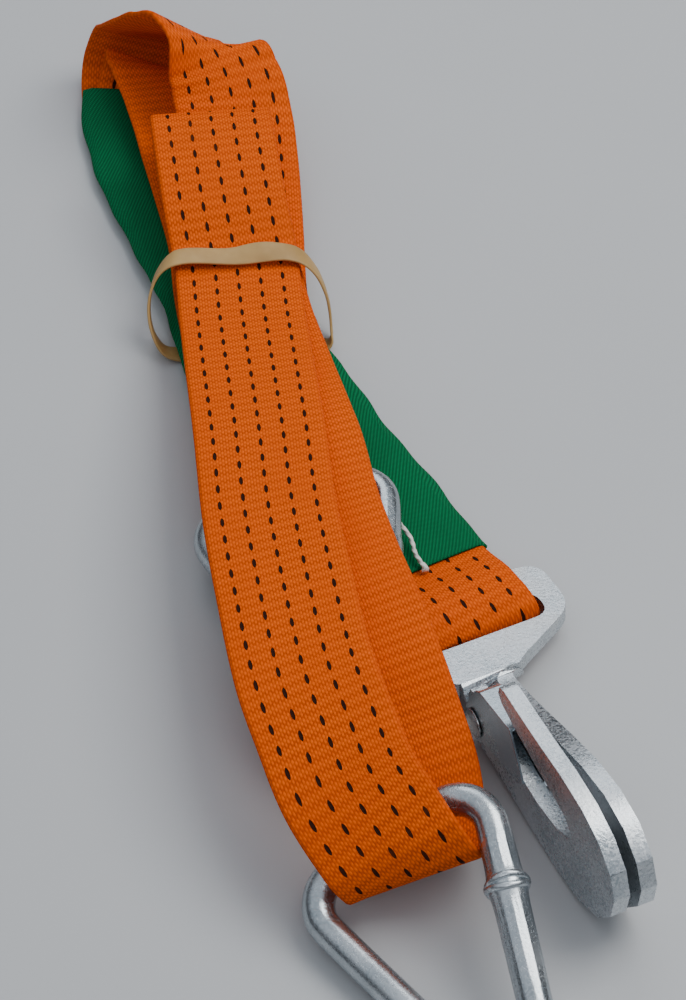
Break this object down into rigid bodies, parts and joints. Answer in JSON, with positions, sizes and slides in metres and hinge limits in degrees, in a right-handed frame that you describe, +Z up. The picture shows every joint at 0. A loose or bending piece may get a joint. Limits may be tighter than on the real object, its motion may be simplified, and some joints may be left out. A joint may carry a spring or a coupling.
{
  "type": "winch strap",
  "caption": "Flat woven winch strap with a protective sleeve, welded triangle rings and a riveted twin snap hook, folded into a banded bundle.",
  "frame": {"origin": "on the floor, under the middle of the box round the bundle", "axes": "+Y along the bundle from the ring and hook end towards its webbing loops, +Z up"},
  "size_m": [0.2116, 0.5154, 0.0616],
  "materials": {
    "webbing": "orange woven polyester with dark tracer threads on one face",
    "sleeve": "green woven tube",
    "ring_lower": "zinc plated round bar",
    "ring_upper": "zinc plated round bar",
    "hook_plate": "zinc plated forging",
    "hook_blade": "zinc plated plate",
    "latch_front": "zinc plated folded sheet",
    "latch_rear": "zinc plated folded sheet",
    "blade_rivet": "zinc plated rivet",
    "rubber_band": "tan rubber",
    "thread_end": "white sewing thread"
  },
  "bodies": {
    "bundle": {"webbing": "webbing", "sleeve": "sleeve", "ring_upper": "ring_upper", "hook_plate": "hook_plate", "blade_rivet": "blade_rivet", "rubber_band": "rubber_band", "thread_end": "thread_end"},
    "lower_ring": {"ring_lower": "ring_lower"},
    "front_blade": {"hook_blade": "hook_blade"},
    "front_latch": {"latch_front": "latch_front"},
    "rear_latch": {"latch_rear": "latch_rear"}
  },
  "joints": [
    {"name": "ring_swing", "type": "hinge", "parent": "bundle", "child": "lower_ring", "pos_m": [0.01778, -0.16762, 0.02581], "axis": [-0.8303, -0.3422, -0.4399], "range_deg": [0, 35]},
    {"name": "blade_swing", "type": "hinge", "parent": "bundle", "child": "front_blade", "pos_m": [0.06153, -0.10318, 0.01526], "axis": [-0.9026, -0.4305, 0], "range_deg": [0, 35]},
    {"name": "front_latch_open", "type": "hinge", "parent": "front_blade", "child": "front_latch", "pos_m": [0.06153, -0.10318, 0.01526], "axis": [0.9026, 0.4305, 0], "range_deg": [0, 28], "stiffness_Nm_per_rad": 0.05, "springref_deg": -28.65},
    {"name": "rear_latch_open", "type": "hinge", "parent": "bundle", "child": "rear_latch", "pos_m": [0.06153, -0.10318, 0.01526], "axis": [-0.9026, -0.4305, 0], "range_deg": [0, 18], "stiffness_Nm_per_rad": 0.05, "springref_deg": -28.65}
  ]
}
